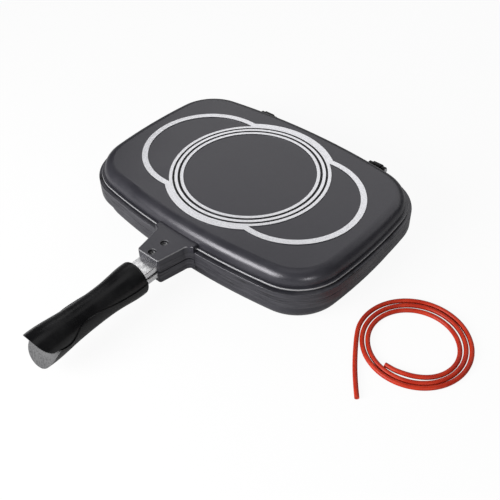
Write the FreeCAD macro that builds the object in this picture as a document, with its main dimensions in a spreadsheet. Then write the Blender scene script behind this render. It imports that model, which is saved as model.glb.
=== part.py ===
import FreeCAD, Part
import math
import os
from types import SimpleNamespace

import Sketcher
from FreeCAD import Placement, Rotation, Vector

# A double sided flip pan. Two die-cast rectangular pans, the lower one deeper, meet at the seam
# between their rims. Two hinges join them at the back, and magnets in a split handle at the
# front hold them shut. A silicone cord lies in the lower rim's groove, and a spare length of it
# lies in a loose coil beside the pan.
# Millimetres. X runs along the pan, +Y from the handle to the hinges, +Z up. The origin is the
# middle of the pan on the surface that it stands on.

os.makedirs("parts", exist_ok=True)
doc = FreeCAD.newDocument("flip_pan")

SIZES = {
    # The rim's outline from above: bowed sides that run into round corners.
    "rim_half_length": 180.0,
    "rim_half_width": 126.0,
    "long_side_radius": 800.0,
    "short_side_radius": 600.0,
    "corner_radius": 65.0,
    # Each half's section, measured from the seam outwards.
    "upper_depth": 30.0,
    "lower_depth": 37.5,
    "seam_gap": 0.3,
    "rim_band_height": 10.0,
    "rim_edge": 0.8,
    "recess_inset": 6.0,
    "ledge_inset": 4.2,
    "ledge_level": 14.2,
    "ledge_thickness": 2.4,
    "ledge_edge": 1.1,
    "wall_inset": 7.6,
    "base_fillet": 13.0,
    "ring_height": 0.8,
    "cavity_inset": 12.5,
    "floor_thickness": 4.2,
    "cavity_fillet": 9.0,
    # The rings cast on each base, which the pan stands on.
    "first_ring_radius": 77.8,
    "first_ring_width": 3.7,
    "second_ring_radius": 84.4,
    "second_ring_width": 3.6,
    "third_ring_radius": 90.6,
    "third_ring_width": 3.7,
    "band_radius": 99.7,
    "lobe_offset": 67.9,
    "lobe_radius": 72.5,
    "lobe_width": 6.9,
    # The seal's groove in the lower rim, the seal, and the upper rim's tongue.
    "groove_inset": 5.0,
    "groove_width": 5.0,
    "groove_depth": 5.0,
    "seal_height": 3.6,
    "seal_edge": 1.2,
    "seal_clearance": 0.3,
    "tongue_width": 2.6,
    # The ridges cast in the lower pan's floor.
    "ridge_pitch": 13.0,
    "ridge_width": 4.5,
    "ridge_height": 2.5,
    "ridge_margin": 12.0,
    # The lug at the front of each pan, and the slot for the tang in it.
    "lug_reach": 39.0,
    "upper_lug_height": 17.8,
    "lower_lug_height": 15.0,
    "lug_root_half_width": 21.5,
    "lug_tip_half_width": 15.5,
    "lug_root_round": 8.0,
    "lug_seam_space": 0.8,
    "lug_corner": 3.2,
    "lug_edge": 1.4,
    "slot_depth": 33.0,
    "slot_play": 0.1,
    "lug_screw_setback": 7.0,
    "lug_screw_spacing": 18.0,
    "lug_screw_recess_radius": 4.6,
    "lug_screw_recess_depth": 3.2,
    "lug_screw_head_radius": 3.9,
    "lug_screw_head_height": 2.4,
    "lug_screw_radius": 2.5,
    # The tang, and the bright ferrule round it between lug and grip.
    "tang_width": 14.0,
    "tang_thickness": 4.6,
    "tang_level": 4.9,
    "tang_to_magnet": 11.0,
    "ferrule_width": 25.0,
    "ferrule_height": 7.0,
    "ferrule_wall": 1.1,
    "ferrule_round": 1.0,
    # The split grip. Its sides part along a wave, and its middle along the seam.
    "grip_front": 56.5,
    "grip_length": 135.4,
    "grip_front_radius": 19.2,
    "grip_waist_radius": 16.1,
    "grip_end_radius": 19.2,
    "lower_grip_fuller": 1.2,
    "grip_front_round": 4.0,
    "grip_notch": 16.5,
    "grip_notch_bulge": 2.6,
    "grip_gap": 0.3,
    "grip_land_half_width": 10.5,
    "wave_front": 2.5,
    "wave_peak": 8.5,
    "wave_dip": -1.6,
    "wave_end": 2.5,
    "grip_screw_setback": 36.0,
    "grip_screw_radius": 1.6,
    "grip_screw_head_radius": 3.2,
    "grip_screw_head_height": 1.5,
    "magnet_setback": 29.0,
    "magnet_radius": 5.0,
    "magnet_height": 3.5,
    "magnet_sink": 0.2,
    # The hinges at the back.
    "hinge_offset": 87.5,
    "hinge_axis_offset": 10.0,
    "leaf_half_width": 11.5,
    "leaf_height": 9.0,
    "leaf_thickness": 3.0,
    "middle_knuckle_half_width": 6.0,
    "middle_knuckle_radius": 6.0,
    "side_knuckle_radius": 4.7,
    "arm_thickness": 3.6,
    "hinge_gap": 0.3,
    "pin_radius": 2.0,
    "pin_head_radius": 3.2,
    "pin_head_height": 1.3,
    "leaf_screw_offset": 8.7,
    "leaf_screw_level": 7.2,
    "leaf_screw_radius": 1.5,
    "leaf_screw_length": 8.0,
    "leaf_screw_head_radius": 2.3,
    "leaf_screw_head_height": 1.3,
    # Running clearance round every pin and screw.
    "bore_play": 0.05,
    # The spare seal: a round cord, and the radius of its coil's first quarter turn.
    "cord_diameter": 5.0,
    "coil_radius": 57.3,
    # How far a cutting shape runs past what it cuts.
    "overrun": 1.0,
}

# Angles in degrees and counts, which don't change with size.
LAST_TURN = 29.0
# The coil's quarter turns after the tail, as shares of the coil's radius, and its last stretch.
QUARTER_TURN_SHARES = (1.0, 1.026, 0.964, 0.963, 0.912, 0.914, 0.863, 0.861, 0.789, 0.827, 0.689)
LAST_TURN_SHARE = 1.077
# How much of a run of the tail each of its bends takes up.
ARC_SHARE = 0.45
# The spare seal's tail from its cut end to where it meets the coil, seen from the rim's corner.
TAIL_POINTS = [(74.8, -11.1), (59.8, 6.7), (42.5, 31.1), (29.6, 52.1)]
# The wave between the grips: where its turns lie along the grip, and how high between front
# and peak its rear shoulder stands.
WAVE_PLACE_SHARES = (0.0, 0.28, 0.54, 0.65, 0.76, 0.89, 1.0)
WAVE_SHOULDER_SHARE = 0.70
# The grip's swell along its length, towards its front and its end. Each place has the share
# that the grip has swollen there from its waist.
GRIP_FRONT_SWELLS = ((0.08, 1.0), (0.25, 0.25), (0.50, 0.0))
GRIP_END_SWELLS = ((0.70, 0.42), (0.83, 0.95), (1.0, 1.0))
SLOT_SHARE = 0.16
DOME_SHARE = 0.45
# Two levels or directions this close are the same.
SAME = 1e-4

sheet = doc.addObject("Spreadsheet::Sheet", "sizes")
for row, (alias, value) in enumerate(SIZES.items(), 1):
    sheet.set(f"A{row}", alias)
    sheet.set(f"B{row}", str(value))
    sheet.setAlias(f"B{row}", alias)
doc.recompute()
size = SimpleNamespace(**{alias: float(sheet.get(alias)) for alias in SIZES})

# Levels, from the seam outwards, that several pieces share.
seam_face = size.seam_gap / 2
base_level = {
    "upper": size.upper_depth - size.ring_height,
    "lower": size.lower_depth - size.ring_height,
}
cavity_level = {half: level - size.floor_thickness for half, level in base_level.items()}
lug_height = {"upper": size.upper_lug_height, "lower": size.lower_lug_height}
grip_fuller = {"upper": 0.0, "lower": size.lower_grip_fuller}
slot_half_height = size.tang_thickness / 2 + size.slot_play
slot_half_width = size.tang_width / 2 + size.slot_play
lug_tip = -(size.rim_half_width + size.lug_reach)
grip_start = -(size.rim_half_width + size.grip_front)
hinge_y = size.rim_half_width + size.hinge_axis_offset
lug_screw_places = [lug_tip + size.lug_screw_setback + step for step in (0, size.lug_screw_spacing)]
grip_screw_y = grip_start - size.grip_screw_setback
magnet_y = grip_start - size.grip_length + size.magnet_setback
tang_end = magnet_y + size.magnet_radius + size.tang_to_magnet

# Every piece of a half is drawn with the seam at height 0 and its outside upwards. The lower
# half's pieces are then turned over about the Y axis.
PLACES = {
    "upper": Placement(Vector(0, 0, size.lower_depth), Rotation(Vector(0, 1, 0), 0)),
    "lower": Placement(Vector(0, 0, size.lower_depth), Rotation(Vector(0, 1, 0), 180)),
}
nodes = []


def keep(piece, label):
    """Gives a finished piece its name and lists it for export."""
    piece.Label = label
    nodes.append(piece)
    return piece


def add_solid(label, shape, place=None):
    """A piece whose shape is worked out here from the sheet's sizes."""
    feature = doc.addObject("Part::Feature", label)
    feature.Shape = shape
    if place:
        feature.Placement = place
    return keep(feature, label)


def point(x, y, z=0.0):
    return Vector(x, y, z)


def arc(start, middle, end):
    return Part.Arc(start, middle, end).toShape()


def box(low, high):
    """A block between two corners."""
    return Part.makeBox(high.x - low.x, high.y - low.y, high.z - low.z, low)


def edges_at(solid, level):
    """The edges of a solid that lie flat at one height."""
    return [e for e in solid.Edges if all(abs(v.Z - level) < SAME for v in e.Vertexes)]


def unit_towards(start, end):
    step = end - start
    return step / step.Length


def corner_centre():
    """The middle of the outline's corner arc, which runs into both side arcs from inside."""
    long_middle = point(0, size.rim_half_width - size.long_side_radius)
    short_middle = point(size.rim_half_length - size.short_side_radius, 0)
    long_reach = size.long_side_radius - size.corner_radius
    short_reach = size.short_side_radius - size.corner_radius
    between = (short_middle - long_middle).Length
    along = (long_reach**2 - short_reach**2 + between**2) / (2 * between)
    across = math.sqrt(long_reach**2 - along**2)
    way = unit_towards(long_middle, short_middle)
    return long_middle + way * along + point(way.y, -way.x) * across, long_middle, short_middle


CORNER, LONG_MIDDLE, SHORT_MIDDLE = corner_centre()


def outline(inset):
    """The rim's outline, moved in by inset: eight arcs, each running smoothly into the next."""
    long_way = unit_towards(LONG_MIDDLE, CORNER)
    short_way = unit_towards(SHORT_MIDDLE, CORNER)
    corner_way = (long_way + short_way) / (long_way + short_way).Length
    radius = size.corner_radius - inset
    near_long, bend, near_short = (CORNER + way * radius for way in (long_way, corner_way, short_way))
    side_y = size.rim_half_width - inset
    side_x = size.rim_half_length - inset
    edges = []
    for across, up in ((1, 1), (1, -1), (-1, -1), (-1, 1)):
        places = [point(across * p.x, up * p.y) for p in (near_long, bend, near_short)]
        edges.append(arc(*places))
    for up in (1, -1):
        ends = [point(across * near_long.x, up * near_long.y) for across in (-1, 1)]
        edges.append(arc(ends[0], point(0, up * side_y), ends[1]))
    for across in (1, -1):
        ends = [point(across * near_short.x, up * near_short.y) for up in (-1, 1)]
        edges.append(arc(ends[0], point(across * side_x, 0), ends[1]))
    return Part.Wire(Part.__sortEdges__(edges))


def slab(inset, low, high):
    """A plate of the rim's outline, moved in by inset, between two heights."""
    face = Part.Face(outline(inset))
    face.translate(Vector(0, 0, low))
    return face.extrude(Vector(0, 0, high - low))


def rim_ring(inset, width, low, high):
    """A closed strip that follows the rim."""
    runs_past = size.overrun
    return slab(inset, low, high).cut(slab(inset + width, low - runs_past, high + runs_past))


def rings(level):
    """The raised rings on a base: three round ones, a wide band and a lobe at each side."""

    def disc(radius, x=0.0):
        return Part.makeCylinder(radius, size.ring_height, Vector(x, 0, level))

    def ring(radius, width, x=0.0):
        return disc(radius + width, x).cut(disc(radius, x))

    third_outer = size.third_ring_radius + size.third_ring_width
    band = ring(third_outer, size.band_radius - third_outer)
    pieces = [
        ring(size.first_ring_radius, size.first_ring_width),
        ring(size.second_ring_radius, size.second_ring_width),
        ring(size.third_ring_radius, size.third_ring_width),
    ]
    for x in (-size.lobe_offset, size.lobe_offset):
        band = band.cut(disc(size.lobe_radius, x))
        pieces.append(ring(size.lobe_radius, size.lobe_width, x).cut(disc(size.band_radius)))
    return pieces + [band]


def lug(top):
    """The cast lug that carries the handle, with hollow rounds where it leaves the pan."""
    root_y = -(size.rim_half_width - (size.wall_inset + size.cavity_inset) / 2)
    rim_y = -size.rim_half_width
    root, tip, bend = size.lug_root_half_width, size.lug_tip_half_width, size.lug_root_round
    hollow = bend * (1 - math.sqrt(0.5))
    edges = []
    for across in (1, -1):
        start = point(across * (root + bend), rim_y)
        middle = point(across * (root + hollow), rim_y - hollow)
        end = point(across * root, rim_y - bend)
        inside = point(start.x, root_y)
        edges.append(Part.makeLine(inside, start))
        edges.append(arc(start, middle, end))
        edges.append(Part.makeLine(end, point(across * tip, lug_tip)))
    edges.append(Part.makeLine(point(tip, lug_tip), point(-tip, lug_tip)))
    edges.append(Part.makeLine(point(-root - bend, root_y), point(root + bend, root_y)))
    face = Part.Face(Part.Wire(Part.__sortEdges__(edges)))
    face.translate(Vector(0, 0, size.lug_seam_space))
    solid = face.extrude(Vector(0, 0, top - size.lug_seam_space))
    upright = [
        e for e in solid.Edges
        if all(abs(v.Y - lug_tip) < SAME for v in e.Vertexes)
        and abs(e.Vertexes[0].X - e.Vertexes[1].X) < SAME
    ]
    solid = solid.makeFillet(size.lug_corner, upright)
    outer = [
        e for e in edges_at(solid, top)
        if any(v.Y < root_y - SAME for v in e.Vertexes)
    ]
    return solid.makeFillet(size.lug_edge, outer)


def lug_hollows(top):
    """What is cut from a lug: the tang's slot, and two recessed screw holes."""
    slot_end = lug_tip + size.slot_depth
    slot = box(
        Vector(-slot_half_width, lug_tip - size.overrun, size.tang_level - slot_half_height),
        Vector(slot_half_width, slot_end, size.tang_level + slot_half_height),
    )
    cuts = [slot]
    floor = (size.lug_seam_space + size.tang_level - slot_half_height) / 2
    for y in lug_screw_places:
        hole = size.lug_screw_radius + size.bore_play
        seat = top - size.lug_screw_recess_depth
        cuts.append(Part.makeCylinder(hole, seat - floor, Vector(0, y, floor)))
        deep = size.lug_screw_recess_depth + size.overrun
        cuts.append(Part.makeCylinder(size.lug_screw_recess_radius, deep, Vector(0, y, seat)))
    return cuts


def leaf_screw_holes(across_signs=(-1, 1)):
    """Blind holes in the back of the rim for the screws of both hinges."""
    holes = []
    for place in leaf_screw_places(across_signs):
        radius = size.leaf_screw_radius + size.bore_play
        deep = size.leaf_screw_length + size.overrun
        holes.append(Part.makeCylinder(radius, deep, place, Vector(0, -1, 0)))
    return holes


def rim_y_at(x):
    """How far back the rim's long side lies at x."""
    return LONG_MIDDLE.y + math.sqrt(size.long_side_radius**2 - x**2)


def leaf_screw_places(across_signs=(-1, 1)):
    """Where each leaf screw's head is seated, on both hinges."""
    places = []
    for across in across_signs:
        for step in (-size.leaf_screw_offset, size.leaf_screw_offset):
            x = across * size.hinge_offset + step
            seat = rim_y_at(abs(x)) + size.leaf_thickness / 2
            places.append(Vector(x, seat, size.leaf_screw_level))
    return places


def pan_half(half):
    """One die-cast pan. The lower one has the seal's groove and ridges, the upper the tongue."""
    base = base_level[half]
    wall = slab(size.wall_inset, seam_face, base)
    wall = wall.makeFillet(size.base_fillet, edges_at(wall, base))
    ledge = slab(size.ledge_inset, size.ledge_level - size.ledge_thickness, size.ledge_level)
    ledge = ledge.makeFillet(size.ledge_edge, edges_at(ledge, size.ledge_level))
    recess = slab(size.recess_inset, seam_face, size.ledge_level - size.ledge_thickness / 2)
    band = slab(0, seam_face, size.rim_band_height)
    band = band.makeFillet(size.rim_edge, edges_at(band, size.rim_band_height))
    cavity = slab(size.cavity_inset, seam_face - size.overrun, cavity_level[half])
    cavity = cavity.makeFillet(size.cavity_fillet, edges_at(cavity, cavity_level[half]))
    top = lug_height[half]
    solid = wall.fuse([ledge, recess, band, lug(top), *rings(base)])
    solid = solid.cut([cavity, *lug_hollows(top), *leaf_screw_holes()])
    if half == "lower":
        low = seam_face - size.overrun
        groove = rim_ring(size.groove_inset, size.groove_width, low, seam_face + size.groove_depth)
        return solid.cut(groove).fuse(ridges()).removeSplitter()
    tongue_inset = size.groove_inset + (size.groove_width - size.tongue_width) / 2
    height = size.groove_depth - size.seal_height - size.seal_clearance + size.seam_gap
    tongue = rim_ring(tongue_inset, size.tongue_width, seam_face - height, seam_face + size.overrun)
    return solid.fuse(tongue).removeSplitter()


def ridges():
    """Parallel ridges on the floor inside, which lift the food out of its fat."""
    inset = size.cavity_inset + size.cavity_fillet + size.ridge_margin
    edge = size.ridge_width / 2
    floor = cavity_level["lower"]
    top = floor - size.ridge_height
    room = slab(inset, top - size.overrun, floor + size.overrun)
    reach = size.rim_half_length
    count = math.floor((size.rim_half_width - inset) / size.ridge_pitch)
    bars = []
    for step in range(-count, count + 1):
        y = step * size.ridge_pitch
        bar = box(Vector(-reach, y - edge, top), Vector(reach, y + edge, floor))
        long_edges = [e for e in edges_at(bar, top) if e.Length > reach]
        bars.append(bar.makeFillet(edge / 2, long_edges).common(room))
    return bars


def seal():
    """The seal that fills the lower groove, drawn in the lower half's frame."""
    bottom = seam_face + size.groove_depth
    top = bottom - size.seal_height
    ring = rim_ring(size.groove_inset, size.groove_width, top, bottom)
    return ring.makeFillet(size.seal_edge, edges_at(ring, top))


def screw(head_radius, head_height, shank_radius, length):
    """A round-headed screw with a cross in its head, seated at height 0 and pointing down."""
    rim = head_height * (1 - DOME_SHARE)
    half_chord = head_radius * math.sqrt(0.5)
    dome_rise = (head_height - rim) * (1 - (half_chord / head_radius) ** 2)
    edges = [
        Part.makeLine(point(0, 0, -length), point(shank_radius, 0, -length)),
        Part.makeLine(point(shank_radius, 0, -length), point(shank_radius, 0, 0)),
        Part.makeLine(point(shank_radius, 0, 0), point(head_radius, 0, 0)),
        Part.makeLine(point(head_radius, 0, 0), point(head_radius, 0, rim)),
        arc(point(head_radius, 0, rim), point(half_chord, 0, rim + dome_rise), point(0, 0, head_height)),
        Part.makeLine(point(0, 0, head_height), point(0, 0, -length)),
    ]
    solid = Part.Face(Part.Wire(edges)).revolve(Vector(0, 0, 0), Vector(0, 0, 1), 360)
    long_way, short_way = head_radius / 2, head_radius * SLOT_SHARE
    for x, y in ((long_way, short_way), (short_way, long_way)):
        solid = solid.cut(box(Vector(-x, -y, head_height / 2), Vector(x, y, head_height + size.overrun)))
    return solid


def screws_at(places, turn, *sizes):
    """Like screws, one at each place, each turned the same way."""
    copies = []
    for place in places:
        copy = screw(*sizes)
        copy.Placement = Placement(place, turn)
        copies.append(copy)
    return Part.makeCompound(copies)


def wave_face(side, gap):
    """The region on one side of the wave at the grips' sides, in the plane X = 0."""
    end = grip_start - size.grip_length
    low, high = size.wave_front, size.wave_peak
    shoulder = low + (high - low) * WAVE_SHOULDER_SHARE
    heights = (low, low, high, shoulder, size.wave_dip, size.wave_end, size.wave_end)
    places = [grip_start + (end - grip_start) * share for share in WAVE_PLACE_SHARES]
    turns = [Vector(0, y, side * height + gap) for y, height in zip(places, heights)]
    past = size.grip_end_radius + size.lower_grip_fuller
    first = turns[0] + Vector(0, past, 0)
    last = turns[-1] + Vector(0, -past, 0)
    curve = Part.BSplineCurve()
    curve.interpolate(Points=turns, InitialTangent=Vector(0, -1, 0), FinalTangent=Vector(0, -1, 0))
    above = 2 * past
    high_last, high_first = Vector(0, last.y, above), Vector(0, first.y, above)
    edges = [
        Part.makeLine(first, turns[0]),
        curve.toShape(),
        Part.makeLine(turns[-1], last),
        Part.makeLine(last, high_last),
        Part.makeLine(high_last, high_first),
        Part.makeLine(high_first, first),
    ]
    return Part.Face(Part.Wire(edges))


def grip_round(half):
    """A grip's round form, before it is split: full, waisted and full again."""
    length, fuller = size.grip_length, grip_fuller[half]
    end = grip_start - length
    front = size.grip_front_radius + fuller
    waist = size.grip_waist_radius + fuller
    last = size.grip_end_radius + fuller
    nose = size.grip_front_round
    hollow = nose * (1 - math.sqrt(0.5))
    swell = [Vector(0, grip_start - nose, front)]
    for full, swells in ((front, GRIP_FRONT_SWELLS), (last, GRIP_END_SWELLS)):
        for place, share in swells:
            swell.append(Vector(0, grip_start - length * place, waist + (full - waist) * share))
    curve = Part.BSplineCurve()
    curve.interpolate(swell)
    edges = [
        Part.makeLine(Vector(0, grip_start, 0), Vector(0, grip_start, front - nose)),
        arc(
            Vector(0, grip_start, front - nose),
            Vector(0, grip_start - hollow, front - hollow),
            Vector(0, grip_start - nose, front),
        ),
        curve.toShape(),
        Part.makeLine(Vector(0, end, last), Vector(0, end, 0)),
        Part.makeLine(Vector(0, end, 0), Vector(0, grip_start, 0)),
    ]
    return Part.Face(Part.Wire(edges)).revolve(Vector(0, 0, 0), Vector(0, 1, 0), 360)


def notch(half):
    """The wedge cut from a grip's end, which leaves the closed pair a mouth between two noses."""
    end, past = grip_start - size.grip_length, size.overrun
    last = size.grip_end_radius + grip_fuller[half]
    slope = size.grip_notch / last
    inner = Vector(0, end + size.grip_notch, 0)
    outer = Vector(0, end, last)
    way = unit_towards(inner, outer)
    middle = (inner + outer) / 2 - Vector(0, way.z, -way.y) * size.grip_notch_bulge
    below = Vector(0, inner.y + slope * last, -last)
    above = Vector(0, outer.y - slope * past, last + past)
    far = end - size.grip_notch
    edges = [
        Part.makeLine(below, inner),
        arc(inner, middle, outer),
        Part.makeLine(outer, above),
        Part.makeLine(above, Vector(0, far, above.z)),
        Part.makeLine(Vector(0, far, above.z), Vector(0, far, below.z)),
        Part.makeLine(Vector(0, far, below.z), below),
    ]
    return across_grip(Part.Face(Part.Wire(edges)))


def across_grip(face):
    """A face in the plane X = 0, drawn out to both sides past the grip."""
    reach = 2 * (size.grip_end_radius + size.lower_grip_fuller)
    face.translate(Vector(-reach, 0, 0))
    return face.extrude(Vector(2 * reach, 0, 0))


def grip(half):
    """Half of the handle: moulded round the tang, with a screw and a magnet in its flat face."""
    side = 1 if half == "upper" else -1
    face_level = size.grip_gap / 2
    whole = grip_round(half)
    reach = 2 * (size.grip_end_radius + size.lower_grip_fuller)
    end = grip_start - size.grip_length
    land = size.grip_land_half_width
    play = size.bore_play
    sides = whole.common(across_grip(wave_face(side, face_level)))
    under_land = box(
        Vector(-land - face_level, end - reach, -reach),
        Vector(land + face_level, grip_start + reach, face_level),
    )
    middle = box(
        Vector(-land + face_level, end, face_level),
        Vector(land - face_level, grip_start, size.wave_peak + size.overrun),
    )
    solid = sides.cut(under_land).fuse(whole.common(middle))
    slot = box(
        Vector(-slot_half_width, tang_end, size.tang_level - slot_half_height),
        Vector(slot_half_width, grip_start + size.overrun, size.tang_level + slot_half_height),
    )
    seat = face_level + size.grip_screw_head_height + size.magnet_sink
    below = -size.overrun
    screw_place = Vector(0, grip_screw_y, below)
    magnet_place = Vector(0, magnet_y, below)
    magnet_seat = face_level + size.magnet_sink + size.magnet_height
    hole_end = slot_half_height + seat
    cuts = [
        notch(half),
        slot,
        Part.makeCylinder(size.grip_screw_radius + play, hole_end - below, screw_place),
        Part.makeCylinder(size.grip_screw_head_radius + play, seat - below, screw_place),
        Part.makeCylinder(size.magnet_radius + play, magnet_seat - below, magnet_place),
    ]
    return solid.cut(cuts).removeSplitter()


def grip_screw():
    """The screw through a grip's flat face into the tang, with its head sunk in the grip."""
    face_level = size.grip_gap / 2
    seat = face_level + size.grip_screw_head_height + size.magnet_sink
    length = size.tang_level + size.tang_thickness / 2 - seat
    turn = Rotation(Vector(1, 0, 0), 180)
    return screws_at([Vector(0, grip_screw_y, seat)], turn, size.grip_screw_head_radius,
                     size.grip_screw_head_height, size.grip_screw_radius, length)


def lug_screws(half):
    """The two screws that hold the tang in its lug."""
    seat = lug_height[half] - size.lug_screw_recess_depth
    length = seat - size.tang_level + size.tang_thickness / 2
    places = [Vector(0, y, seat) for y in lug_screw_places]
    return screws_at(places, Rotation(), size.lug_screw_head_radius,
                     size.lug_screw_head_height, size.lug_screw_radius, length)


def leaf_screws():
    """The screws that hold both hinges' leaves to one rim."""
    turn = Rotation(Vector(1, 0, 0), -90)
    return screws_at(leaf_screw_places(), turn, size.leaf_screw_head_radius,
                     size.leaf_screw_head_height, size.leaf_screw_radius, size.leaf_screw_length)


def hinge_leaf(half, across):
    """A black leaf: a pad that follows the rim, with one or two knuckles on the hinge's axis."""
    centre = across * size.hinge_offset
    low, high = size.hinge_gap, size.leaf_height
    span = size.leaf_half_width
    reach = hinge_y - size.hinge_axis_offset - size.cavity_inset
    zone = box(Vector(centre - span, reach, low), Vector(centre + span, hinge_y, high))
    past = size.overrun
    pad = slab(-size.leaf_thickness, low, high).cut(slab(0, low - past, high + past)).common(zone)
    middle = size.middle_knuckle_half_width
    if half == "upper":
        stretches = [(-middle, middle)]
        radius = size.middle_knuckle_radius
    else:
        stretches = [(-span, -middle - size.hinge_gap), (middle + size.hinge_gap, span)]
        radius = size.side_knuckle_radius
    arms = []
    for start, end in stretches:
        barrel = Part.makeCylinder(radius, end - start, Vector(centre + start, hinge_y, 0), Vector(1, 0, 0))
        arm = box(
            Vector(centre + start, reach, low),
            Vector(centre + end, hinge_y, low + size.arm_thickness),
        )
        arms += [barrel, arm.cut(slab(0, low - past, high + past))]
    bore = Part.makeCylinder(size.pin_radius + size.bore_play, 2 * (span + past),
                             Vector(centre - span - past, hinge_y, 0), Vector(1, 0, 0))
    cuts = [bore]
    for place in leaf_screw_places((across,)):
        hole = size.leaf_screw_radius + size.bore_play
        cuts.append(Part.makeCylinder(hole, size.leaf_thickness + past, place, Vector(0, -1, 0)))
        head = size.leaf_screw_head_radius + size.bore_play
        cuts.append(Part.makeCylinder(head, size.leaf_thickness, place, Vector(0, 1, 0)))
    return pad.fuse(arms).cut(cuts).removeSplitter()


def origin_plane(body, role):
    return next(f for f in body.Origin.OriginFeatures if f.Role == role)


def add_sketch(body, role, loops):
    """A sketch of closed straight-sided loops. Each corner is a pair of formulas on the sheet."""
    sketch = body.newObject("Sketcher::SketchObject", f"{body.Name}_sketch")
    sketch.AttachmentSupport = [(origin_plane(body, role), "")]
    sketch.MapMode = "FlatFace"
    for corners in loops:
        first = sketch.GeometryCount
        spots = [Vector(*(float(sheet.evalExpression(f)) for f in corner), 0) for corner in corners]
        for i, spot in enumerate(spots):
            sketch.addGeometry(Part.LineSegment(spot, spots[(i + 1) % len(spots)]), False)
        for i, corner in enumerate(corners):
            line = first + i
            before = first + (i - 1) % len(corners)
            sketch.addConstraint(Sketcher.Constraint("Coincident", before, 2, line, 1))
            for kind, formula, value in zip(("DistanceX", "DistanceY"), corner, spots[i]):
                index = sketch.addConstraint(Sketcher.Constraint(kind, -1, 1, line, 1, value))
                sketch.setExpression(f"Constraints[{index}]", formula)
    return sketch


def add_tang(half):
    """A steel bar, held by two screws in the lug and by one in the grip."""
    body = doc.addObject("PartDesign::Body", f"{half}_tang")
    back = "-(sizes.rim_half_width + sizes.lug_reach - sizes.slot_depth)"
    magnet = "sizes.grip_length - sizes.magnet_setback - sizes.magnet_radius"
    front = f"-(sizes.rim_half_width + sizes.grip_front + {magnet} - sizes.tang_to_magnet)"
    low = "sizes.tang_level - sizes.tang_thickness / 2"
    high = "sizes.tang_level + sizes.tang_thickness / 2"
    pad = body.newObject("PartDesign::Pad", f"{half}_tang_bar")
    pad.Profile = add_sketch(body, "YZ_Plane", [[(front, low), (back, low), (back, high), (front, high)]])
    pad.SideType = "Symmetric"
    pad.setExpression("Length", "sizes.tang_width")
    doc.recompute()
    holes = body.newObject("Sketcher::SketchObject", f"{half}_tang_holes")
    holes.AttachmentSupport = [(origin_plane(body, "XY_Plane"), "")]
    holes.MapMode = "FlatFace"
    lug_screw_y = "-(sizes.rim_half_width + sizes.lug_reach - sizes.lug_screw_setback)"
    rows = [
        (lug_screw_y, "sizes.lug_screw_radius + sizes.bore_play"),
        (f"{lug_screw_y} + sizes.lug_screw_spacing", "sizes.lug_screw_radius + sizes.bore_play"),
        ("-(sizes.rim_half_width + sizes.grip_front + sizes.grip_screw_setback)",
         "sizes.grip_screw_radius + sizes.bore_play"),
    ]
    for place, radius in rows:
        y, r = (float(sheet.evalExpression(f)) for f in (place, radius))
        circle = holes.addGeometry(Part.Circle(Vector(0, y, 0), Vector(0, 0, 1), r), False)
        holes.addConstraint(Sketcher.Constraint("PointOnObject", circle, 3, -2))
        index = holes.addConstraint(Sketcher.Constraint("DistanceY", -1, 1, circle, 3, y))
        holes.setExpression(f"Constraints[{index}]", place)
        index = holes.addConstraint(Sketcher.Constraint("Radius", circle, r))
        holes.setExpression(f"Constraints[{index}]", radius)
    pocket = body.newObject("PartDesign::Pocket", f"{half}_tang_drilled")
    pocket.Profile = holes
    pocket.Type = "ThroughAll"
    pocket.SideType = "Symmetric"
    body.Tip = pocket
    body.Placement = PLACES[half]
    return keep(body, f"{half}_tang")


def add_ferrule(half):
    """A bright sleeve of sheet metal round the tang, from the lug's tip to the grip's front."""
    body = doc.addObject("PartDesign::Body", f"{half}_ferrule")
    loops = []
    for thinner in ("0", "sizes.ferrule_wall"):
        side = f"(sizes.ferrule_width / 2 - {thinner})"
        low = f"sizes.tang_level - sizes.ferrule_height / 2 + {thinner}"
        high = f"sizes.tang_level + sizes.ferrule_height / 2 - {thinner}"
        loops.append([(f"-{side}", low), (side, low), (side, high), (f"-{side}", high)])
    sketch = add_sketch(body, "XZ_Plane", loops)
    sketch.setExpression("AttachmentOffset.Base.z", "sizes.rim_half_width + sizes.lug_reach")
    pad = body.newObject("PartDesign::Pad", f"{half}_ferrule_sleeve")
    pad.Profile = sketch
    pad.setExpression("Length", "sizes.grip_front - sizes.lug_reach")
    doc.recompute()
    outer = [
        f"Edge{i}" for i, e in enumerate(pad.Shape.Edges, 1)
        if abs(e.Vertexes[0].Y - e.Vertexes[-1].Y) > SAME
        and abs(abs(e.Vertexes[0].X) - size.ferrule_width / 2) < SAME
    ]
    fillet = body.newObject("PartDesign::Fillet", f"{half}_ferrule_round")
    fillet.Base = (pad, outer)
    fillet.setExpression("Radius", "sizes.ferrule_round")
    body.Tip = fillet
    body.Placement = PLACES[half]
    return keep(body, f"{half}_ferrule")


def add_hinge_pin(side, across):
    """A steel pin with a flat head at each end, which both leaves' knuckles turn on."""
    body = doc.addObject("PartDesign::Body", f"{side}_hinge_pin")
    shank, head = "sizes.pin_radius", "sizes.pin_head_radius"
    inner = "(sizes.leaf_half_width + sizes.bore_play)"
    outer = "(sizes.leaf_half_width + sizes.bore_play + sizes.pin_head_height)"
    corners = [(f"-{outer}", "0"), (outer, "0"), (outer, head), (inner, head),
               (inner, shank), (f"-{inner}", shank), (f"-{inner}", head), (f"-{outer}", head)]
    turned = body.newObject("PartDesign::Revolution", f"{side}_hinge_pin_turned")
    turned.Profile = add_sketch(body, "XY_Plane", [corners])
    turned.ReferenceAxis = (origin_plane(body, "X_Axis"), "")
    turned.Angle = 360
    body.Tip = turned
    body.Placement = Placement(Vector(across * size.hinge_offset, hinge_y, size.lower_depth), Rotation())
    return keep(body, f"{side}_hinge_pin")


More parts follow.
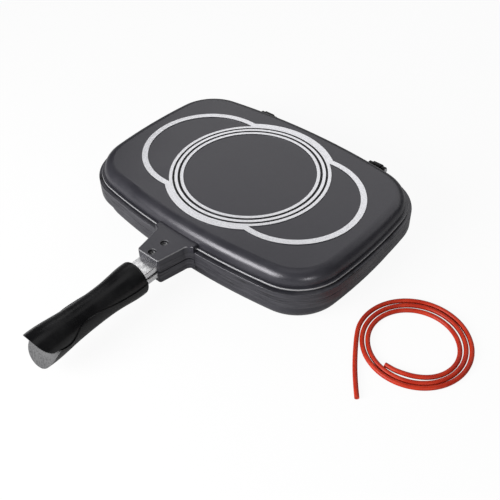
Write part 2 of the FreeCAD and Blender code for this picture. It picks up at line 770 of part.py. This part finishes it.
def add_magnet(half):
    """A round magnet sunk in a grip's flat face, facing its twin."""
    magnet = doc.addObject("Part::Cylinder", f"{half}_magnet")
    magnet.setExpression("Radius", "sizes.magnet_radius")
    magnet.setExpression("Height", "sizes.magnet_height")
    sunk = "sizes.grip_gap / 2 + sizes.magnet_sink"
    level = f"sizes.lower_depth + {sunk}"
    if half == "lower":
        level = f"sizes.lower_depth - {sunk} - sizes.magnet_height"
    place = "-(sizes.rim_half_width + sizes.grip_front + sizes.grip_length - sizes.magnet_setback)"
    magnet.setExpression("Placement.Base.y", place)
    magnet.setExpression("Placement.Base.z", level)
    return keep(magnet, f"{half}_magnet")


def ahead(angle):
    """The direction that lies at an angle from +X, seen from above."""
    return Vector(math.cos(math.radians(angle)), math.sin(math.radians(angle)), 0)


def tail_edges(points):
    """Straight runs between the tail's points, joined by arcs as large as the runs allow."""
    edges = []
    place = points[0]
    for before, corner, after in zip(points, points[1:], points[2:]):
        into, out = unit_towards(before, corner), unit_towards(corner, after)
        reach = ARC_SHARE * min((corner - before).Length, (after - corner).Length)
        half_turn = into.getAngle(out) / 2
        radius = reach / math.tan(half_turn)
        print(f"spare seal: tail bend of radius {radius:.0f} mm")
        inward = (out - into) / (out - into).Length
        middle = corner + inward * (radius / math.cos(half_turn) - radius)
        edges.append(Part.makeLine(place, corner - into * reach))
        edges.append(arc(corner - into * reach, middle, corner + out * reach))
        place = corner + out * reach
    edges.append(Part.makeLine(place, points[-1]))
    return edges


def coil_path():
    """The spare seal's middle line: its tail, and turns that shrink and drift as they wind."""
    rim_corner = Vector(size.rim_half_length, -size.rim_half_width, size.cord_diameter / 2)
    points = [rim_corner + Vector(x, y, 0) for x, y in TAIL_POINTS]
    edges = tail_edges(points)
    place = points[-1]
    way = unit_towards(points[-2], place)
    heading = math.degrees(math.atan2(way.y, way.x))
    turns = [(share, 90) for share in QUARTER_TURN_SHARES] + [(LAST_TURN_SHARE, LAST_TURN)]
    for share, turn in turns:
        radius = size.coil_radius * share
        middle = place + ahead(heading - 90) * radius
        halfway = middle + ahead(heading + 90 - turn / 2) * radius
        end = middle + ahead(heading + 90 - turn) * radius
        edges.append(arc(place, halfway, end))
        place, heading = end, heading - turn
    edges.append(Part.makeLine(place, place + ahead(heading) * size.cord_diameter))
    return Part.Wire(edges), points[0], unit_towards(points[0], points[1])


def spare_seal():
    """The loose coil, one unbroken tube along its path."""
    path, start, way = coil_path()
    ring = Part.Wire(Part.makeCircle(size.cord_diameter / 2, start, way))
    tube = path.makePipeShell([ring], True, False)
    expected = math.pi * (size.cord_diameter / 2) ** 2 * path.Length
    print(f"spare seal: {path.Length:.0f} mm long, volume {tube.Volume / expected:.4f} of section by length")
    print(f"spare seal: least gap to itself {least_gap(path):.2f} mm")
    return tube


def least_gap(path):
    """The least gap between the cord's turns, measured on points along it."""
    step = size.cord_diameter / 5
    spots = path.discretize(Distance=step)
    apart = math.ceil(math.pi * size.cord_diameter / step)
    nearest = min(
        (a - b).Length
        for i, a in enumerate(spots)
        for b in spots[i + apart:]
    )
    return nearest - size.cord_diameter


for half in ("lower", "upper"):
    place = PLACES[half]
    add_solid(f"{half}_pan", pan_half(half), place)
    add_tang(half)
    add_ferrule(half)
    add_solid(f"{half}_grip", grip(half), place)
    add_solid(f"{half}_lug_screws", lug_screws(half), place)
    add_solid(f"{half}_grip_screw", grip_screw(), place)
    add_magnet(half)
    turned_over = -1 if half == "lower" else 1
    for side, across in (("left", -1), ("right", 1)):
        add_solid(f"{side}_{half}_hinge_leaf", hinge_leaf(half, across * turned_over), place)
    add_solid(f"{half}_leaf_screws", leaf_screws(), place)
for side, across in (("left", -1), ("right", 1)):
    add_hinge_pin(side, across)
add_solid("rim_seal", seal(), PLACES["lower"])
add_solid("spare_seal", spare_seal())

doc.recompute()
for thing in doc.Objects:
    faults = {"Invalid", "Error"} & set(thing.State)
    if faults:
        raise RuntimeError(f"{thing.Label} failed: {sorted(faults)}")
for node in nodes:
    if node.Shape.isNull() or not node.Shape.isValid():
        raise RuntimeError(f"{node.Label} has no valid shape")
for node in nodes:
    node.Shape.exportStep(f"parts/{node.Label}.step")
    print(f"{node.Label}: {len(node.Shape.Solids)} solid, {node.Shape.Volume / 1000:.2f} cm3")
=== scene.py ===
import math

import bpy
from mathutils import Matrix, Vector


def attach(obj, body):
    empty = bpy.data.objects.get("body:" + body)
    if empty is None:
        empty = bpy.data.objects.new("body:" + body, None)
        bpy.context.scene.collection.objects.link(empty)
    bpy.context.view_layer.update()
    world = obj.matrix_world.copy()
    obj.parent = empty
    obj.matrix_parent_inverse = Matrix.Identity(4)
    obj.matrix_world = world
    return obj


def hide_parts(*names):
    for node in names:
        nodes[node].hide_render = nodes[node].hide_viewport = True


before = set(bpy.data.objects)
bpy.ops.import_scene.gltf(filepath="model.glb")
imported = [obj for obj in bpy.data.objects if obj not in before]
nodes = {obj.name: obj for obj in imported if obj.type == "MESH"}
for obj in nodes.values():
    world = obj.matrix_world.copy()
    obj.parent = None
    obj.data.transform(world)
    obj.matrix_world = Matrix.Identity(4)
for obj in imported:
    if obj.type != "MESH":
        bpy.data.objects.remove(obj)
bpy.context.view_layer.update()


# The camera stands where the photograph was taken from, in front of the pan and to its right, and
# looks down at it. It aims at the upper base, towards the near corner. Lengths are metres.
azimuth, elevation, roll = (math.radians(angle) for angle in (42.547, 43.463, -1.748))
aim = Vector((0.0869, -0.0989, 0.0675))
distance = 0.768
flat_way = Vector((math.sin(azimuth), -math.cos(azimuth), 0))
towards = math.cos(elevation) * flat_way + Vector((0, 0, math.sin(elevation)))
level_right = Vector((math.cos(azimuth), math.sin(azimuth), 0))
right = math.cos(roll) * level_right + math.sin(roll) * towards.cross(level_right)
turn = Matrix((right, towards.cross(right), towards)).transposed()
camera = bpy.data.objects.new("camera", bpy.data.cameras.new("camera"))
camera.matrix_world = Matrix.Translation(aim + distance * towards) @ turn.to_4x4()
camera.data.sensor_width = 36
camera.data.lens = 53.41
bpy.context.collection.objects.link(camera)
bpy.context.scene.camera = camera


# The spare seal: an extruded silicone cord, cut off square at both ends, that lies beside the pan
# in a loose coil. Its line starts with the tail, set by points from the rim's corner. Quarter
# turns follow, each with a share of the coil's radius, and then a short piece of one more.
cord_diameter = 0.005
coil_radius = 0.0573
rim_corner = Vector((0.180, -0.126, cord_diameter / 2))
tail = [(0.0748, -0.0111), (0.0598, 0.0067), (0.0425, 0.0311), (0.0296, 0.0521)]
quarter_turn_shares = (1.0, 1.026, 0.964, 0.963, 0.912, 0.914, 0.863, 0.861, 0.789, 0.827, 0.689)
last_share, last_degrees = 1.077, 29
points_per_quarter = 6
step = math.radians(90) / points_per_quarter


def left_of(heading):
    """The level way to the left of a heading."""
    return Vector((-math.sin(heading), math.cos(heading), 0))


line = [rim_corner + Vector((x, y, 0)) for x, y in tail]
tip = line.pop()
way = (tip - line[-1]).normalized()
heading = math.atan2(way.y, way.x)
arcs = [(share, 90) for share in quarter_turn_shares] + [(last_share, last_degrees)]
for share, degrees in arcs:
    radius = coil_radius * share
    middle = tip - radius * left_of(heading)
    outside = radius / math.cos(step / 2)
    for i in range(round(math.radians(degrees) / step)):
        line.append(middle + outside * left_of(heading - (i + 0.5) * step))
    heading -= math.radians(degrees)
    tip = middle + radius * left_of(heading)
line += [tip, tip + cord_diameter * Vector((math.cos(heading), math.sin(heading), 0))]

curve = bpy.data.curves.new("spare_seal_cord", "CURVE")
curve.dimensions = "3D"
curve.bevel_depth = cord_diameter / 2
curve.bevel_resolution = 8
curve.use_fill_caps = True
spline = curve.splines.new("NURBS")
spline.points.add(len(line) - 1)
for point, at in zip(spline.points, line):
    point.co = (*at, 1)
spline.order_u = 3
spline.use_endpoint_u = True
spline.resolution_u = 8
cord = bpy.data.objects.new("spare_seal_cord", curve)
bpy.context.collection.objects.link(cord)
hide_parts("spare_seal")
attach(cord, "loose_cord")


def feed(tree, socket, value):
    """Links another node's socket, or sets a plain value."""
    if isinstance(value, bpy.types.NodeSocket):
        tree.links.new(value, socket)
    else:
        socket.default_value = value


def add_node(tree, kind, **settings):
    """A node with its attributes and its inputs' plain values set."""
    node = tree.nodes.new(kind)
    for name, value in settings.items():
        if name in node.inputs:
            node.inputs[name].default_value = value
        else:
            setattr(node, name, value)
    return node


def new_material(name, **values):
    """A material with one Principled shader, whose plain values are set on its own sockets."""
    material = bpy.data.materials.new(name)
    material.use_nodes = True
    shader = material.node_tree.nodes["Principled BSDF"]
    for socket, value in values.items():
        shader.inputs[socket.replace("_", " ")].default_value = value
    return material, material.node_tree, shader


def new_group(name, inputs, outputs):
    """A shader node group with its sockets, and its ends to link to."""
    tree = bpy.data.node_groups.new(name, "ShaderNodeTree")
    for way, sockets in (("INPUT", inputs), ("OUTPUT", outputs)):
        for label, kind in sockets.items():
            tree.interface.new_socket(name=label, in_out=way, socket_type=kind)
    return tree, tree.nodes.new("NodeGroupInput"), tree.nodes.new("NodeGroupOutput")


def place_group(tree, group, **values):
    """A shader node group in a material, with that material's own values."""
    node = tree.nodes.new("ShaderNodeGroup")
    node.node_tree = group
    for socket, value in values.items():
        node.inputs[socket.replace("_", " ")].default_value = value
    return node


def object_spot(tree):
    """The place on the object, in metres."""
    return add_node(tree, "ShaderNodeTexCoord").outputs["Object"]


def noise(tree, spot, scale, detail, roughness):
    """Soft noise over the object, whose scale is about the number of its blots a metre."""
    node = add_node(tree, "ShaderNodeTexNoise", Detail=detail, Roughness=roughness)
    tree.links.new(spot, node.inputs["Vector"])
    feed(tree, node.inputs["Scale"], scale)
    return node.outputs["Fac"]


def between(tree, value, low, high, to_low=0.0, to_high=1.0):
    """A value mapped from one range to another, with smooth ends."""
    node = add_node(tree, "ShaderNodeMapRange", interpolation_type="SMOOTHSTEP")
    tree.links.new(value, node.inputs["Value"])
    limits = {"From Min": low, "From Max": high, "To Min": to_low, "To Max": to_high}
    for socket, number in limits.items():
        node.inputs[socket].default_value = number
    return node.outputs["Result"]


def blend(tree, factor, first, second):
    """A colour between two, each a socket or a plain colour."""
    node = add_node(tree, "ShaderNodeMix", data_type="RGBA")
    tree.links.new(factor, node.inputs["Factor"])
    for socket, colour in ((node.inputs[6], first), (node.inputs[7], second)):
        feed(tree, socket, (*colour, 1) if isinstance(colour, tuple) else colour)
    return node.outputs[2]


def emboss(tree, shader, height, depth, strength):
    """Feeds a height, whose full step is depth in metres, to the shader's normal."""
    bump = add_node(tree, "ShaderNodeBump", Strength=strength, Distance=depth)
    tree.links.new(height, bump.inputs["Height"])
    tree.links.new(bump.outputs["Normal"], shader.inputs["Normal"])


# Most values of a noise lie between these two.
noise_range = (0.3, 0.7)

# Fine grain, as moulded, cast and painted skins have: an even roughness of the surface, and
# slow clouds in its tone.
grain, ends, results = new_group(
    "fine_grain",
    {"Grains per Metre": "NodeSocketFloat", "Clouds per Metre": "NodeSocketFloat"},
    {"Height": "NodeSocketFloat", "Clouds": "NodeSocketFloat"},
)
spot = object_spot(grain)
for result, scale, detail in (
    ("Height", "Grains per Metre", 3.0),
    ("Clouds", "Clouds per Metre", 4.0),
):
    blots = noise(grain, spot, ends.outputs[scale], detail, roughness=0.6)
    grain.links.new(blots, results.inputs[result])

silicone_tones = (0.37, 0.017, 0.005), (0.47, 0.030, 0.0075)
silicone_roughness = (0.4, 0.52)
silicone_grain_depth = 0.00002
silicone, tree, shader = new_material("orange_red_silicone", Specular_IOR_Level=0.25)
skin = place_group(tree, grain, Grains_per_Metre=900, Clouds_per_Metre=60)
clouds = skin.outputs["Clouds"]
tone = blend(tree, between(tree, clouds, *noise_range), *silicone_tones)
tree.links.new(tone, shader.inputs["Base Color"])
roughness = between(tree, clouds, *noise_range, *silicone_roughness)
tree.links.new(roughness, shader.inputs["Roughness"])
emboss(tree, shader, skin.outputs["Height"], silicone_grain_depth, strength=0.4)
curve.materials.append(silicone)


# The two pans: die-cast aluminium under a dark grey satin coat with pale flecks. The tops of the
# rings on each base are turned bare again on a lathe, and shade is painted near black on their
# walls and between them. The band round the rim is brushed level, with its grooves painted dark
# as shade, and pale highlights are painted along the ledge's edge and the lugs' edges.
seam = 0.0375
pan_height = 0.0675
# A pair of numbers is a ramp, over which a mark starts or ends. These three are depths from the
# plane of the rings' tops: where the bare metal, the rings' walls and the flat base end.
ring_top_depth = (0.0001, 0.0003)
ring_wall_depth = (0.0006, 0.00075)
base_depth = (0.0013, 0.002)
# The rings' ramps are radii, the ledge's and the band's are heights from the seam, and those of
# the lugs' edges are heights from the floor.
rings_start, rings_end = (0.0779, 0.0783), (0.0938, 0.0942)
ledge_start, ledge_end = (0.0122, 0.0128), (0.0137, 0.01405)
band_end = (0.0105, 0.0115)
upper_edge_start, upper_edge_end = (0.0538, 0.0543), (0.0550, 0.0553)
lower_edge_start, lower_edge_end = (0.0225, 0.0228), (0.0235, 0.0240)
# Along Y: where the ledge gives way to the lugs, and where the lugs' edges with a painted
# highlight begin.
ledge_front = (-0.1226, -0.1222)
lug_start = (-0.1300, -0.1275)

coat_tones = (0.021, 0.0206, 0.0260), (0.029, 0.0284, 0.0345)
flecks_per_metre, fleck_reach = 2200.0, (0.1, 0.35)
fleck_tone, fleck_share = (0.15, 0.15, 0.16), 0.25
# A pale tone painted as a highlight along the ledge's rounded edge.
ledge_highlight_tone = (0.28, 0.28, 0.285)
# A pale tone painted as a highlight along the lugs' top and bottom edges, broken up by the grain.
edge_highlight_range, least_edge_highlight = (0.3, 0.55), 0.3
lug_edge_highlight_tone = (0.20, 0.20, 0.205)
streak_tone = (0.055, 0.054, 0.06)
# A near-black tone painted as shade in the band's grooves.
groove_shade_tone = (0.003, 0.003, 0.0035)
# A near-black tone painted as shade on the rings' walls and on the base between them.
ring_shade_tone = (0.003, 0.003, 0.0033)
shine_range, least_shine = (0.3, 0.6), 0.4
bare_tones = (0.45, 0.45, 0.47), (0.95, 0.95, 0.98)
coat_roughness = (0.29, 0.36)
bare_roughness = (0.28, 0.4)
dulled_more = 0.35
# A groove is this many times as deep as the coat's grain, whose depth is next, in metres.
groove_depth = 5.0
coat_relief_depth = 0.00005


def math_node(tree, operation, first, second=0.0):
    """One arithmetic step on sockets or plain numbers."""
    node = add_node(tree, "ShaderNodeMath", operation=operation)
    feed(tree, node.inputs[0], first)
    feed(tree, node.inputs[1], second)
    return node.outputs["Value"]


def both(tree, first, second):
    """A mask where two masks meet."""
    return math_node(tree, "MULTIPLY", first, second)


def either(tree, first, second):
    """A mask that covers what either mask covers."""
    return math_node(tree, "MAXIMUM", first, second)


def strip(tree, value, start, end):
    """A mask of the strip where a value is past one ramp and short of another."""
    return both(tree, between(tree, value, *start), between(tree, value, *end, 1, 0))


def number_between(tree, factor, first, second):
    """A number between two sockets' numbers."""
    node = add_node(tree, "ShaderNodeMix")
    tree.links.new(factor, node.inputs["Factor"])
    tree.links.new(first, node.inputs[2])
    tree.links.new(second, node.inputs[3])
    return node.outputs[0]


def scaled(tree, spot, factors):
    """A place with its axes scaled, so that marks stretch along one or ignore it."""
    node = add_node(tree, "ShaderNodeVectorMath", operation="MULTIPLY")
    tree.links.new(spot, node.inputs[0])
    node.inputs[1].default_value = factors
    return node.outputs["Vector"]


def dress(material, *names):
    """Gives CAD nodes this material."""
    for name in names:
        for slot in nodes[name].material_slots:
            slot.material = material


# Turned marks, as a lathe leaves round the Z axis: noise that changes with the radius only.
turned, ends, results = new_group(
    "turned_marks",
    {"Marks per Metre": "NodeSocketFloat"},
    {"Height": "NodeSocketFloat", "Radius": "NodeSocketFloat"},
)
reach = add_node(turned, "ShaderNodeVectorMath", operation="LENGTH")
turned.links.new(scaled(turned, object_spot(turned), (1, 1, 0)), reach.inputs[0])
from_axis = reach.outputs["Value"]
marks = add_node(turned, "ShaderNodeTexNoise", noise_dimensions="1D", Detail=3.0, Roughness=0.7)
marks_passed = math_node(turned, "MULTIPLY", from_axis, ends.outputs["Marks per Metre"])
turned.links.new(marks_passed, marks.inputs["W"])
turned.links.new(marks.outputs["Fac"], results.inputs["Height"])
turned.links.new(from_axis, results.inputs["Radius"])

# Level streaks, as a brush or a turning edge leaves round a rim: noise that changes with Z and
# hardly along the other two ways. Its peaks are pale streaks and its dips are grooves, which the
# coat paints near black as painted shade.
along_rim = 0.03
streak_range, groove_range = (0.45, 0.7), (0.33, 0.43)
layered, ends, results = new_group(
    "level_streaks",
    {"Streaks per Metre": "NodeSocketFloat"},
    {"Streaks": "NodeSocketFloat", "Grooves": "NodeSocketFloat"},
)
spot = scaled(layered, object_spot(layered), (along_rim, along_rim, 1))
layers = noise(layered, spot, ends.outputs["Streaks per Metre"], detail=3.0, roughness=0.6)
layered.links.new(between(layered, layers, *streak_range), results.inputs["Streaks"])
layered.links.new(between(layered, layers, *groove_range, 1, 0), results.inputs["Grooves"])

coat, tree, shader = new_material(
    "satin_grey_coat", Specular_IOR_Level=0.5, Specular_Tint=(0.97, 0.95, 1, 1)
)
spot = object_spot(tree)
axes = add_node(tree, "ShaderNodeSeparateXYZ")
tree.links.new(spot, axes.inputs["Vector"])
along, level = axes.outputs["Y"], axes.outputs["Z"]
from_seam = math_node(tree, "ABSOLUTE", math_node(tree, "SUBTRACT", level, seam))
depth = math_node(tree, "MINIMUM", level, math_node(tree, "SUBTRACT", pan_height, level))
skin = place_group(tree, grain, Grains_per_Metre=1400, Clouds_per_Metre=25)
lathe = place_group(tree, turned, Marks_per_Metre=700)
brush = place_group(tree, layered, Streaks_per_Metre=900)
clouds, pits = skin.outputs["Clouds"], skin.outputs["Height"]
lathe_marks = lathe.outputs["Height"]

flecks = add_node(tree, "ShaderNodeTexVoronoi", Scale=flecks_per_metre)
tree.links.new(spot, flecks.inputs["Vector"])
glint = between(tree, flecks.outputs["Distance"], *fleck_reach, fleck_share, 0)
# The ledge's rounded edge, all round but for the lugs, where a pale highlight is painted.
ledge_highlight = strip(tree, from_seam, ledge_start, ledge_end)
ledge_highlight = both(tree, ledge_highlight, between(tree, along, *ledge_front))
lug_edges = either(
    tree,
    strip(tree, level, upper_edge_start, upper_edge_end),
    strip(tree, level, lower_edge_start, lower_edge_end),
)
# The lugs' top and bottom edges, where a pale highlight is painted.
lug_edge_highlight = both(tree, between(tree, along, *lug_start, 1, 0), lug_edges)
lug_edge_highlight = both(tree, lug_edge_highlight, between(tree, pits, *edge_highlight_range, least_edge_highlight, 1))
on_band = between(tree, from_seam, *band_end, 1, 0)
streaked = both(tree, on_band, brush.outputs["Streaks"])
# The band's grooves: painted near black as shade, and also dulled and lowered in the bump.
grooved = both(tree, on_band, brush.outputs["Grooves"])
among_rings = strip(tree, lathe.outputs["Radius"], rings_start, rings_end)
# The rings' walls and the base among the rings, painted near black as shade and dulled.
ring_shade = both(tree, among_rings, between(tree, depth, *base_depth, 1, 0))
ring_shade = either(tree, ring_shade, between(tree, depth, *ring_wall_depth, 1, 0))
bare = between(tree, depth, *ring_top_depth, 1, 0)
shine = between(tree, pits, *shine_range, least_shine, 1)
brushed = both(tree, between(tree, lathe_marks, *shine_range), shine)

tone = blend(tree, between(tree, clouds, *noise_range), *coat_tones)
for mask, marked_tone in (
    (glint, fleck_tone),
    (ledge_highlight, ledge_highlight_tone),
    (lug_edge_highlight, lug_edge_highlight_tone),
    (streaked, streak_tone),
    (grooved, groove_shade_tone),
    (ring_shade, ring_shade_tone),
    (bare, blend(tree, brushed, *bare_tones)),
):
    tone = blend(tree, mask, tone, marked_tone)
tree.links.new(tone, shader.inputs["Base Color"])
tree.links.new(bare, shader.inputs["Metallic"])
dulled = math_node(tree, "MULTIPLY", either(tree, grooved, ring_shade), dulled_more)
coated = math_node(tree, "ADD", between(tree, clouds, *noise_range, *coat_roughness), dulled)
metal = between(tree, lathe_marks, *noise_range, *bare_roughness)
tree.links.new(number_between(tree, bare, coated, metal), shader.inputs["Roughness"])
lowered = math_node(tree, "SUBTRACT", pits, math_node(tree, "MULTIPLY", grooved, groove_depth))
relief = number_between(tree, bare, lowered, lathe_marks)
emboss(tree, shader, relief, coat_relief_depth, strength=0.35)
dress(coat, "lower_pan", "upper_pan")


# The rim's seal: a closed loop of the same silicone as the spare one, pressed into the groove in
# the lower pan's rim, where the upper pan's tongue shuts on it.
dress(silicone, "rim_seal")


# The hinges at the back: leaves of pressed steel in black satin paint, screwed to both pans.
# Their knuckles close round the pins, which are among the steels below.
paint_tones = (0.004, 0.004, 0.0045), (0.012, 0.012, 0.0125)
paint_cloud_range, paint_roughness = (0.35, 0.7), (0.32, 0.46)
paint_grain_depth = 0.00004
paint, tree, shader = new_material("black_satin_paint", Specular_IOR_Level=0.25)
skin = place_group(tree, grain, Grains_per_Metre=1800, Clouds_per_Metre=80)
clouds = skin.outputs["Clouds"]
tone = blend(tree, between(tree, clouds, *paint_cloud_range), *paint_tones)
tree.links.new(tone, shader.inputs["Base Color"])
roughness = between(tree, clouds, *noise_range, *paint_roughness)
tree.links.new(roughness, shader.inputs["Roughness"])
emboss(tree, shader, skin.outputs["Height"], paint_grain_depth, strength=0.5)
dress(
    paint, "left_lower_hinge_leaf", "right_lower_hinge_leaf", "left_upper_hinge_leaf",
    "right_upper_hinge_leaf",
)


# The bare metal parts: tangs cut from bar, ferrules of bright rolled sheet, turned pins and grip
# screws, nickel-plated magnets, and dark plated screws in the lugs and the hinge leaves. Drawing,
# rolling and turning leave fine straight marks in them, which run along Y here. On the dark
# plated screws, the marks' pale tone is a painted glint.
along_marks = 0.04
drawn, ends, results = new_group(
    "drawn_marks",
    {"Marks per Metre": "NodeSocketFloat"},
    {"Height": "NodeSocketFloat"},
)
spot = scaled(drawn, object_spot(drawn), (1, along_marks, 1))
marks = noise(drawn, spot, ends.outputs["Marks per Metre"], detail=4.0, roughness=0.65)
drawn.links.new(marks, results.inputs["Height"])

mark_depth = 0.00003
for name, tones, rough_range, pieces in (
    (
        "cut_steel_bar", ((0.36, 0.36, 0.37), (0.55, 0.55, 0.56)), (0.32, 0.48),
        ("lower_tang", "upper_tang"),
    ),
    (
        "bright_sheet_steel", ((0.70, 0.70, 0.72), (1.0, 1.0, 1.0)), (0.28, 0.44),
        ("lower_ferrule", "upper_ferrule"),
    ),
    (
        "turned_steel", ((0.62, 0.62, 0.64), (0.85, 0.85, 0.86)), (0.2, 0.38),
        ("lower_grip_screw", "upper_grip_screw", "left_hinge_pin", "right_hinge_pin"),
    ),
    (
        "nickel_plate", ((0.56, 0.54, 0.50), (0.66, 0.64, 0.60)), (0.15, 0.3),
        ("lower_magnet", "upper_magnet"),
    ),
    (
        # Dark plated screws: their marks blend up to a pale grey, a painted glint on their heads.
        "dark_plated_steel_painted_glint", ((0.03, 0.03, 0.031), (0.36, 0.36, 0.37)), (0.2, 0.4),
        ("lower_lug_screws", "upper_lug_screws", "lower_leaf_screws", "upper_leaf_screws"),
    ),
):
    steel, tree, shader = new_material(name, Metallic=1.0)
    marks = place_group(tree, drawn, Marks_per_Metre=2500).outputs["Height"]
    wear = place_group(tree, grain, Grains_per_Metre=900, Clouds_per_Metre=150)
    tree.links.new(blend(tree, marks, *tones), shader.inputs["Base Color"])
    roughness = between(tree, wear.outputs["Clouds"], *noise_range, *rough_range)
    tree.links.new(roughness, shader.inputs["Roughness"])
    emboss(tree, shader, marks, mark_depth, strength=0.5)
    dress(steel, *pieces)


# The grips: black phenolic resin, slid over the tangs and held by a screw each. Their sides are
# satin from the mould. Their end faces are trimmed round scoops, each part of a circle seen along
# X, and are painted a paler, rougher grey in patches.
pale_end_edge = (-0.0005, -0.0001)
pale_noise_per_metre = 420.0
pale_noise_range, least_paleness = (0.35, 0.62), 0.45
# Paler grey patches on a grip's end face: the part of a circle, seen along X, past the grip's
# sides.
pale_end, ends, results = new_group(
    "pale_end_patches",
    {"Centre": "NodeSocketVector", "Radius": "NodeSocketFloat", "Last Side": "NodeSocketFloat"},
    {"Paleness": "NodeSocketFloat"},
)
spot = object_spot(pale_end)
away = add_node(pale_end, "ShaderNodeVectorMath", operation="DISTANCE")
pale_end.links.new(scaled(pale_end, spot, (0, 1, 1)), away.inputs[0])
pale_end.links.new(ends.outputs["Centre"], away.inputs[1])
past = math_node(pale_end, "SUBTRACT", away.outputs["Value"], ends.outputs["Radius"])
axes = add_node(pale_end, "ShaderNodeSeparateXYZ")
pale_end.links.new(spot, axes.inputs["Vector"])
beyond = math_node(pale_end, "LESS_THAN", axes.outputs["Y"], ends.outputs["Last Side"])
on_end = both(pale_end, between(pale_end, past, *pale_end_edge), beyond)
pale_noise = noise(pale_end, spot, pale_noise_per_metre, detail=5.0, roughness=0.7)
patches = between(pale_end, pale_noise, *pale_noise_range, least_paleness, 1)
pale_end.links.new(both(pale_end, on_end, patches), results.inputs["Paleness"])

phenolic_tones = (0.0025, 0.0025, 0.003), (0.006, 0.006, 0.0066)
phenolic_roughness, end_rougher_by = (0.26, 0.38), 0.3
phenolic_grain_depth = 0.00004
sides_end = -0.29
for half, centre, radius, pale_end_tone in (
    ("lower", (0, -0.2849, 0.0073), 0.0344, (0.08, 0.08, 0.082)),
    ("upper", (0, -0.2873, 0.0663), 0.0321, (0.10, 0.10, 0.104)),
):
    phenolic, tree, shader = new_material("black_phenolic_" + half, Specular_IOR_Level=0.3)
    skin = place_group(tree, grain, Grains_per_Metre=1200, Clouds_per_Metre=40)
    end_face = place_group(tree, pale_end, Centre=centre, Radius=radius, Last_Side=sides_end)
    clouds, end_paleness = skin.outputs["Clouds"], end_face.outputs["Paleness"]
    tone = blend(tree, between(tree, clouds, *noise_range), *phenolic_tones)
    tree.links.new(blend(tree, end_paleness, tone, pale_end_tone), shader.inputs["Base Color"])
    moulded = between(tree, clouds, *noise_range, *phenolic_roughness)
    dulled = math_node(tree, "MULTIPLY", end_paleness, end_rougher_by)
    tree.links.new(math_node(tree, "ADD", moulded, dulled), shader.inputs["Roughness"])
    emboss(tree, shader, skin.outputs["Height"], phenolic_grain_depth, strength=0.4)
    dress(phenolic, half + "_grip")


# The floor: a sheet of white paper that everything stands on. In view it is near white and keeps
# a faint shadow of the pan. In what mirrors it, it is lit paper with a little of that white.
half_floor = 1.6
paper_tone, paper_tone_in_view = (0.5, 0.5, 0.5), (0.8, 0.8, 0.8)
white_in_view, white_in_mirrors = 0.93, 0.1
corners = [(x * half_floor, y * half_floor, 0) for x, y in ((-1, -1), (1, -1), (1, 1), (-1, 1))]
floor_mesh = bpy.data.meshes.new("floor")
floor_mesh.from_pydata(corners, [], [(0, 1, 2, 3)])
floor = bpy.data.objects.new("floor", floor_mesh)
bpy.context.collection.objects.link(floor)
paper, tree, shader = new_material("paper", Roughness=0.9)
glow = add_node(tree, "ShaderNodeEmission", Color=(1, 1, 1, 1), Strength=1)
path = add_node(tree, "ShaderNodeLightPath")
tone = blend(tree, path.outputs["Is Camera Ray"], paper_tone, paper_tone_in_view)
tree.links.new(tone, shader.inputs["Base Color"])
in_view = math_node(tree, "MULTIPLY", path.outputs["Is Camera Ray"], white_in_view)
mirrored = math_node(tree, "MULTIPLY", path.outputs["Is Glossy Ray"], white_in_mirrors)
mix = add_node(tree, "ShaderNodeMixShader")
tree.links.new(math_node(tree, "MAXIMUM", in_view, mirrored), mix.inputs["Fac"])
tree.links.new(shader.outputs["BSDF"], mix.inputs[1])
tree.links.new(glow.outputs["Emission"], mix.inputs[2])
tree.links.new(mix.outputs["Shader"], tree.nodes["Material Output"].inputs["Surface"])
floor.data.materials.append(paper)


# Soft studio light: a dim room that is white in view, a wide soft box behind the pan that its
# flat faces mirror, one in front and to the left, one overhead, and a small one at each side.
# Each faces the point that the camera aims at. Sizes are metres and powers are watts.
room_light = 0.09
world = bpy.data.worlds.new("studio")
bpy.context.scene.world = world
world.use_nodes = True
tree = world.node_tree
path = add_node(tree, "ShaderNodeLightPath")
room = between(tree, path.outputs["Is Camera Ray"], 0, 1, room_light, 1)
tree.nodes["Background"].inputs["Color"].default_value = (1, 1, 1, 1)
tree.links.new(room, tree.nodes["Background"].inputs["Strength"])
for name, stand, width, height, power in (
    ("back", Vector((-0.12, 1.2, 1.05)), 2.7, 0.9, 9.2),
    ("front", Vector((-0.25, -1.15, 0.57)), 0.8, 0.6, 25),
    ("top", Vector((0.05, 0.0, 1.5)), 0.8, 0.8, 1.5),
    ("right", Vector((1.25, -0.7, 0.5)), 0.25, 0.25, 4.5),
    ("left", Vector((-1.05, 0.55, 1.18)), 0.35, 0.35, 0.6),
):
    lamp = bpy.data.lights.new(name, "AREA")
    lamp.shape = "RECTANGLE"
    lamp.size = width
    lamp.size_y = height
    lamp.energy = power
    holder = bpy.data.objects.new(name, lamp)
    holder.location = stand
    holder.rotation_euler = (stand - aim).to_track_quat("Z", "Y").to_euler()
    bpy.context.collection.objects.link(holder)
bpy.context.scene.view_settings.view_transform = "Standard"
